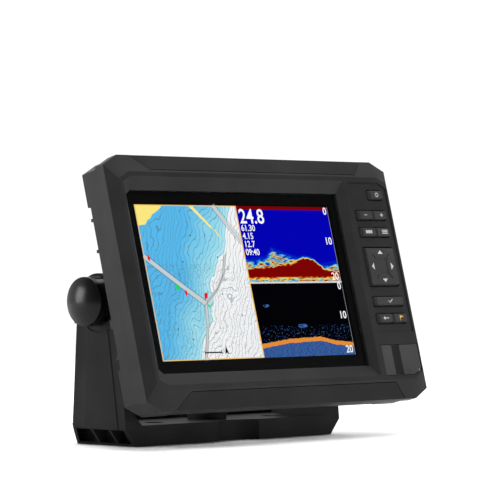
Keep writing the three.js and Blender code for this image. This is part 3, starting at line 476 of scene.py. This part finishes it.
def shoal(s, x, y, centre, narrowness):
    """1 within an oval patch about a point of the panel, else 0."""
    aside = s.math("MULTIPLY", s.math("SUBTRACT", x, centre[0]), narrowness)
    above = s.math("MULTIPLY", s.math("SUBTRACT", y, centre[1]), 1.6 * narrowness)
    spread = s.math("ADD", s.math("MULTIPLY", aside, aside), s.math("MULTIPLY", above, above))
    return s.math("LESS_THAN", spread, 1.0)


def scan_material():
    """A finer scan: a bright orange bed over blue, with blue specks in the black water."""
    s = Shader("scan_picture")
    x, y, place = panel_place(s)
    ragged = s.math("MULTIPLY", s.math("SUBTRACT", s.noise(place, 30.0, 4), 0.5), 0.03)
    bed_line = [(0.0, 0.155), (0.3, 0.215), (0.65, 0.235), (0.8, 0.18), (1.0, 0.145)]
    bed = s.math("ADD", ragged, profile_of(s, x, bed_line))
    depth = s.math("SUBTRACT", bed, y)
    crust = s.math("LESS_THAN", s.math("ABSOLUTE", s.math("SUBTRACT", depth, 0.005)), 0.028)
    below = s.math("GREATER_THAN", depth, 0.0)
    grain = streaks(s, place, 160.0)
    bed_blue = s.ramp(grain, [(0.35, (0.01, 0.03, 0.16)), (0.65, (0.06, 0.17, 0.46))]).outputs[0]
    specks = s.math("GREATER_THAN", s.noise(place, 60.0, 5), 0.63)
    near_bed = s.math("MULTIPLY", specks, s.math("LESS_THAN", y, 0.42))
    shoals = s.math("MAXIMUM", shoal(s, x, y, (0.126, 0.69), 30.0), shoal(s, x, y, (0.48, 0.41), 20.0))
    ripples = s.math("GREATER_THAN", streaks(s, place, 90.0), 0.47)
    echoes = s.math("MAXIMUM", near_bed, s.math("MULTIPLY", shoals, ripples))
    water = s.mix(echoes, (0.0, 0.0, 0.001), (0.05, 0.14, 0.42))
    colour = s.mix(below, water, bed_blue)
    return lit(s, s.mix(crust, colour, (0.80, 0.27, 0.04)))


def band(points, width):
    return stroke(on_chart(points), width)


def chart_marks():
    """The chart's land, channels, buoys, own boat, scale bar and north arrow."""
    shore = [
        (0, 1), (0.27, 1), (0.24, 0.975), (0.20, 0.955), (0.155, 0.935), (0.13, 0.91), (0.10, 0.90),
        (0.075, 0.872), (0.04, 0.868), (0, 0.865),
    ]
    spit = [(0.52, 1), (0.56, 1), (0.67, 0.905), (0.72, 0.86), (0.715, 0.845), (0.66, 0.89)]
    point = [(0.735, 0.845), (0.75, 0.84), (0.79, 0.79), (0.775, 0.795)]
    land = flat_light("chart_land", (1.0, 0.83, 0.22))
    slab("chart_land", [on_chart(o) for o in (shore, spit, point)], MARK_W, SHEET, land, "display")

    south = [(0.0, 0.67), (0.18, 0.56), (0.38, 0.44), (0.52, 0.36)]
    outlet = [(0.52, 0.36), (0.50, 0.22), (0.455, 0.10), (0.42, 0.0)]
    north = [(0.52, 0.36), (0.66, 0.45), (0.75, 0.55), (0.80, 0.68)]
    canal = [(0.77, 1.0), (0.88, 0.88), (1.0, 0.76)]
    routes = (south, outlet, north, canal)
    pale = flat_light("chart_channel", (0.62, 0.64, 0.64))
    slab("chart_channel", [band(r, 2.2 * MM) for r in routes], MARK_W, SHEET, pale, "display")
    dark = flat_light("chart_channel_edge", (0.16, 0.18, 0.20))
    edges = []
    for route in routes:
        for aside in (-0.022, 0.022):
            edges.append(band([(x + aside * 0.7, y + aside * 0.7) for x, y in route], 0.25 * MM))
    slab("chart_channel_edges", edges, TOP_MARK_W, SHEET, dark, "display")

    amber = flat_light("chart_border", (0.95, 0.55, 0.12))
    rim = 0.5 * MM
    frame_bars = [
        rectangle(LIT_LEFT, LIT_BOTTOM, LIT_LEFT + rim, LIT_TOP),
        rectangle(SPLIT_U - rim, LIT_BOTTOM, SPLIT_U + rim / 2, LIT_TOP),
        rectangle(LIT_LEFT, LIT_BOTTOM, SPLIT_U, LIT_BOTTOM + rim),
        rectangle(LIT_LEFT, LIT_TOP - rim, SPLIT_U, LIT_TOP),
    ]
    slab("chart_border", frame_bars, TOP_MARK_W + SHEET, SHEET, amber, "display")

    red = flat_light("mark_red", (0.85, 0.01, 0.02))
    green = flat_light("mark_green", (0.01, 0.72, 0.05))
    black = flat_light("mark_black", (0.005, 0.005, 0.01))
    buoys = [diamond((x, y), 1.1 * MM, 1.9 * MM) for x, y in ((0.045, 0.655), (0.345, 0.43))]
    slab("red_marks", [*buoys, droplet((0.535, 0.415), 1.3 * MM, 3.6 * MM, -25)],
         TOP_MARK_W + SHEET, SHEET, red, "display")
    floats = [
        droplet((0.275, 0.47), 1.3 * MM, 2.8 * MM, -30),
        diamond((0.545, 0.345), 0.8 * MM, 1.2 * MM),
    ]
    slab("green_marks", floats, TOP_MARK_W + SHEET, SHEET, green, "display")
    bar = [band([(0.42, 0.045), (0.585, 0.045)], 0.7 * MM)]
    bar += [band([(x, 0.03), (x, 0.06)], 0.4 * MM) for x in (0.42, 0.585)]
    arrow = [on_chart([(0.615, 0.03), (0.635, 0.085), (0.655, 0.03), (0.635, 0.042)])]
    depths = ((0.37, 0.63), (0.49, 0.8), (0.72, 0.66), (0.2, 0.2), (0.33, 0.13), (0.86, 0.28), (0.7, 0.42))
    soundings = [diamond((x, y), 0.5 * MM, 0.5 * MM) for x, y in depths]
    slab("black_marks", [*bar, *arrow, *soundings], TOP_MARK_W + SHEET, SHEET, black, "display")


def diamond(centre, half_width, half_height):
    (u, v), = on_chart([centre])
    return [(u - half_width, v), (u, v - half_height), (u + half_width, v), (u, v + half_height)]


def droplet(centre, radius, length, turn):
    """A round head that runs out to a point, turned by that many degrees."""
    (u, v), = on_chart([centre])
    tilt = Matrix.Rotation(math.radians(turn), 2)
    outline = [Vector(p) for p in arc((0, 0), radius, -20, 200, 12)] + [Vector((0, -length))]
    return [tuple(Vector((u, v)) + tilt @ p) for p in outline]


def numerals(name, text, left, bottom, height, top, material):
    """Digits that lie on a plane of the display."""
    cap_share = 0.70  # of the font's size
    curve = bpy.data.curves.new(name, "FONT")
    curve.body = text
    curve.size = height / cap_share
    curve.extrude = SHEET / 2
    curve.offset = 0.015 * height
    curve.resolution_u = 4
    curve.materials.append(material)
    piece = bpy.data.objects.new(name, curve)
    bpy.context.scene.collection.objects.link(piece)
    piece.matrix_world = TO_ROW @ Matrix.Translation((left, bottom, top))
    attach(piece, "display")


def readings():
    """The sounder's figures: the depth, four smaller readings and the scales at the right."""
    white = flat_light("figures", (1.0, 1.0, 1.0))
    left = SPLIT_U + 1.5 * MM
    sonar_height = LIT_TOP - SPLIT_V
    numerals("depth_reading", "24.8", left, LIT_TOP - 0.225 * sonar_height, 8.2 * MM, MARK_W, white)
    for index, text in enumerate(("61.30", "4.15", "12.7", "09:40")):
        bottom = LIT_TOP - (0.325 + 0.105 * index) * sonar_height
        numerals(f"reading_{index + 1}", text, left, bottom, 3.5 * MM, MARK_W, white)
    right = LIT_LEFT + LIT_WIDTH - 7.4 * MM
    scales = {"upper": (SPLIT_V, LIT_TOP), "lower": (LIT_BOTTOM, SPLIT_V)}
    for name, (low, high) in scales.items():
        for index, (text, share) in enumerate((("0", 0.90), ("10", 0.50), ("20", 0.03))):
            u = right + (3.2 * MM if text == "0" else 0)
            bottom = low + share * (high - low)
            numerals(f"{name}_scale_{index}", text, u, bottom, 4.2 * MM, MARK_W, white)
        line = rectangle(LIT_LEFT + LIT_WIDTH - 0.35 * MM, low, LIT_LEFT + LIT_WIDTH - 0.1 * MM, high)
        ink = flat_light(f"{name}_scale_line", (0.3, 0.3, 0.35))
        slab(f"{name}_scale_line", [line], MARK_W, SHEET, ink, "display")
    half = 0.45 * MM
    rule = rectangle(SPLIT_U + 0.3 * MM, SPLIT_V - half, LIT_LEFT + LIT_WIDTH, SPLIT_V + half)
    slab("panel_divider", [rule], MARK_W, SHEET, flat_light("panel_divider", (0.72, 0.70, 0.72)), "display")


def glass_mask():
    """The black print behind the glass, which leaves a window for the lit area."""
    low, high = display_box("cover_glass")
    margin = 1.0 * MM
    left, right = LIT_LEFT - margin, LIT_LEFT + LIT_WIDTH + margin
    bottom, top = LIT_BOTTOM - margin, LIT_TOP + margin
    bars = [
        rectangle(low.x, low.y, left, high.y), rectangle(right, low.y, high.x, high.y),
        rectangle(left, low.y, right, bottom), rectangle(left, top, right, high.y),
    ]
    slab("glass_mask", bars, low.z - SHEET, SHEET, DARK, "display")


def screen():
    panel("chart_picture", ((LIT_LEFT, LIT_BOTTOM), (SPLIT_U, LIT_TOP)), chart_material())
    right = LIT_LEFT + LIT_WIDTH
    panel("sonar_picture", ((SPLIT_U, SPLIT_V), (right, LIT_TOP)), sonar_material())
    panel("scan_picture", ((SPLIT_U, LIT_BOTTOM), (right, SPLIT_V)), scan_material())
    chart_marks()
    readings()
    glass_mask()


screen()


# ---- Legends on the keys --------------------------------------------------------------------------

KEY_FACE_SHIFT = 1.3 * MM  # the margin round a key's face is this much wider at its left
LINE = 0.42  # an icon's line, in millimetres
# where the painted shade of the door's groove lies across the door, and how deep it sits
GROOVE_SHADE_SPAN = (8.8 * MM, 15.2 * MM)
GROOVE_SHADE_DEPTH = 0.6 * MM


def legend(name, body, outlines, material=LEGEND):
    """A printed icon in the middle of a key's face; its outlines are millimetres from that middle."""
    low, high = display_box(frame["record"]["behaviour"]["bodies"][body][0])
    face_left = low.x + KEY_FACE_SHIFT
    middle = Vector(((face_left + high.x) / 2, (low.y + high.y) / 2))
    placed = [[(middle.x + u * MM, middle.y + v * MM) for u, v in outline] for outline in outlines]
    slab(name, placed, high.z + SHEET / 2, SHEET, material, body)


def ring(radius, start=0, end=360):
    return stroke(arc((0, 0), radius, start, end, 24), LINE)


def legends():
    legend("power_icon", "power_key", [ring(1.15, 125, 415), stroke([(0, 0.3), (0, 1.7)], LINE)])
    legend("zoom_out_icon", "zoom_out_key", [stroke([(-1.2, 0), (1.2, 0)], LINE)])
    plus = [stroke([(-1.2, 0), (1.2, 0)], LINE), stroke([(0, LINE / 2), (0, 1.2)], LINE)]
    legend("zoom_in_icon", "zoom_in_key", [*plus, stroke([(0, -1.2), (0, -LINE / 2)], LINE)])
    windows = [rectangle(left, -0.9, left + 1.5, 0.9) for left in (-2.65, -0.75, 1.15)]
    legend("mode_icon", "mode_key", windows)
    legend("menu_icon", "menu_key", [stroke([(-2.4, v), (2.4, v)], LINE) for v in (-0.9, 0, 0.9)])
    legend("select_icon", "select_key", [stroke([(-1.8, 0.1), (-0.5, -1.0), (2.0, 1.1)], LINE)])
    back = [stroke([(2.4, 0), (-1.0, 0)], LINE), [(-2.4, 0), (-0.9, -1.1), (-0.9, 1.1)]]
    legend("back_icon", "back_key", back)
    flag = [[(-1.4, 0.0), (1.8, 0.75), (-1.4, 1.5)], rectangle(-1.8, -1.5, -1.4, 1.5)]
    legend("mark_icon", "mark_key", flag, AMBER)
    low, high = display_box("direction_pad")
    middle = (low + high) / 2
    reach, size = 7.3 * MM, 2.1 * MM
    for name, turn in (("right", 0), ("up", 90), ("left", 180), ("down", 270)):
        tilt = Matrix.Rotation(math.radians(turn), 2)
        tip = [Vector((reach + size, 0)), Vector((reach, size)), Vector((reach, -size))]
        outline = [tuple(Vector((middle.x, middle.y)) + tilt @ p) for p in tip]
        slab(f"pad_arrow_{name}", [outline], high.z + SHEET / 2, SHEET, LEGEND, "direction_pad")


legends()


def door_groove_shade():
    """A darker, matt sheet on the floor of the card door's wide groove: painted shade in the recess."""
    low, high = display_box("card_door")
    left, right = low.x + GROOVE_SHADE_SPAN[0], low.x + GROOVE_SHADE_SPAN[1]
    outline = rectangle(left, low.y + 0.3 * MM, right, high.y - 0.3 * MM)
    slab("door_groove_shade", [outline], high.z - GROOVE_SHADE_DEPTH + SHEET, SHEET, GROOVE_SHADE, "card_door")


door_groove_shade()


# ---- Plug pins in the sockets ---------------------------------------------------------------------

def socket_pins(node, count):
    """Gold pins with round tips in a ring on a socket's floor."""
    low, high = display_box(node)
    middle = (low + high) / 2
    floor_w = display_box("rear_hump")[0].z
    radius, length, ring_radius = 0.6 * MM, 6.5 * MM, 3.2 * MM
    bm = bmesh.new()
    for index in range(count):
        angle = 2 * math.pi * index / count
        around = Vector((math.cos(angle), math.sin(angle), 0))
        at = Vector((middle.x, middle.y, 0)) + ring_radius * around
        stem = Matrix.Translation(at + Vector((0, 0, floor_w - length / 2)))
        bmesh.ops.create_cone(
            bm, cap_ends=True, segments=16, radius1=radius, radius2=radius, depth=length,
            matrix=TO_ROW @ stem)
        tip = Matrix.Translation(at + Vector((0, 0, floor_w - length)))
        bmesh.ops.create_uvsphere(bm, u_segments=16, v_segments=8, radius=radius, matrix=TO_ROW @ tip)
    mesh = bpy.data.meshes.new(node.replace("socket", "pins"))
    bm.to_mesh(mesh)
    bm.free()
    for polygon in mesh.polygons:
        polygon.use_smooth = True
    mesh_object(mesh.name, mesh, BRASS, "display")


for socket_node, pin_count in (("power_socket", 5), ("network_socket", 4), ("sonar_socket", 7)):
    socket_pins(socket_node, pin_count)


# ---- Camera, floor and light --------------------------------------------------------------------

EYE = (-1.2576, -1.2139, 0.1061)
EYE_AZIMUTH = -46.8356
LENS = 223.6
FLOOR_RADIUS = 1.7
FLOOR_GAP = 0.0002  # keeps the floor's face apart from the bail's underside
BRIGHT_WAY = (0.55, 0.80, 0.25)  # where the room is white
ROOM_DARK = (0.58, (0.025, 0.025, 0.026, 1))
ROOM_WHITE = (0.76, (1.05, 1.05, 1.05, 1))

# Each soft box: where it hangs, what it faces, its width and height, and its power in watts.
SOFT_BOXES = {
    "overhead_box": ((0.1, 0.2, 1.7), (0, 0.2, 0), (3.0, 3.0), 50),
    "left_box": ((-1.15, 1.08, 0.35), (0, 0, 0.09), (0.6, 0.6), 18),
    "front_box": ((-0.5, -1.1, 1.4), (0, 0, 0.09), (1.0, 1.0), 22),
    "low_box": ((0.9, -1.0, 0.12), (0, 0, 0.02), (0.5, 0.18), 6),
}


def camera():
    data = bpy.data.cameras.new("camera")
    data.sensor_width = 36
    data.lens = LENS
    eye = bpy.data.objects.new("camera", data)
    bpy.context.scene.collection.objects.link(eye)
    eye.location = EYE
    eye.rotation_euler = (math.radians(90), 0, math.radians(EYE_AZIMUTH))
    data.clip_end = 100
    bpy.context.scene.camera = eye


def floor():
    s = Shader("floor")
    paper = s.noise(s.place(), 3.0, 2)
    colour = s.ramp(paper, [(0.3, (0.93, 0.93, 0.93)), (0.7, (0.96, 0.96, 0.96))])
    material = s.surface(s.add("ShaderNodeBsdfPrincipled", Base_Color=colour.outputs[0], Roughness=0.9))
    bm = bmesh.new()
    bmesh.ops.create_circle(bm, cap_ends=True, segments=96, radius=FLOOR_RADIUS)
    mesh = bpy.data.meshes.new("floor")
    bm.to_mesh(mesh)
    bm.free()
    ground = bpy.data.objects.new("floor", mesh)
    ground.location = (0, 0, -FLOOR_GAP)
    ground.data.materials.append(material)
    bpy.context.scene.collection.objects.link(ground)


def area_light(name, place, aim, size, power):
    data = bpy.data.lights.new(name, "AREA")
    data.shape = "RECTANGLE"
    data.size, data.size_y = size
    data.energy = power
    lamp = bpy.data.objects.new(name, data)
    lamp.location = place
    lamp.rotation_euler = (Vector(aim) - Vector(place)).to_track_quat("-Z", "Y").to_euler()
    bpy.context.scene.collection.objects.link(lamp)


def world():
    """A room that is white behind the object and dark in front of it, seen as a plain white backdrop."""
    surroundings = bpy.data.worlds.new("studio")
    surroundings.use_nodes = True
    tree = surroundings.node_tree
    direction = tree.nodes.new("ShaderNodeTexCoord").outputs["Generated"]
    away = tree.nodes.new("ShaderNodeVectorMath")
    away.operation = "DOT_PRODUCT"
    tree.links.new(direction, away.inputs[0])
    away.inputs[1].default_value = BRIGHT_WAY
    ramp = tree.nodes.new("ShaderNodeValToRGB")
    shift = tree.nodes.new("ShaderNodeMath")
    shift.operation = "MULTIPLY_ADD"
    tree.links.new(away.outputs["Value"], shift.inputs[0])
    shift.inputs[1].default_value = 0.5
    shift.inputs[2].default_value = 0.5
    tree.links.new(shift.outputs[0], ramp.inputs[0])
    for element, (position, colour) in zip(ramp.color_ramp.elements, (ROOM_DARK, ROOM_WHITE)):
        element.position = position
        element.color = colour
    backdrop = tree.nodes.new("ShaderNodeMix")
    backdrop.data_type = "RGBA"
    tree.links.new(tree.nodes.new("ShaderNodeLightPath").outputs["Is Camera Ray"], backdrop.inputs[0])
    tree.links.new(ramp.outputs[0], backdrop.inputs[6])
    backdrop.inputs[7].default_value = ROOM_WHITE[1]
    tree.links.new(backdrop.outputs[2], tree.nodes["Background"].inputs["Color"])
    bpy.context.scene.world = surroundings


camera()
floor()
world()
for box_name, settings in SOFT_BOXES.items():
    area_light(box_name, *settings)
bpy.context.scene.view_settings.view_transform = "Standard"
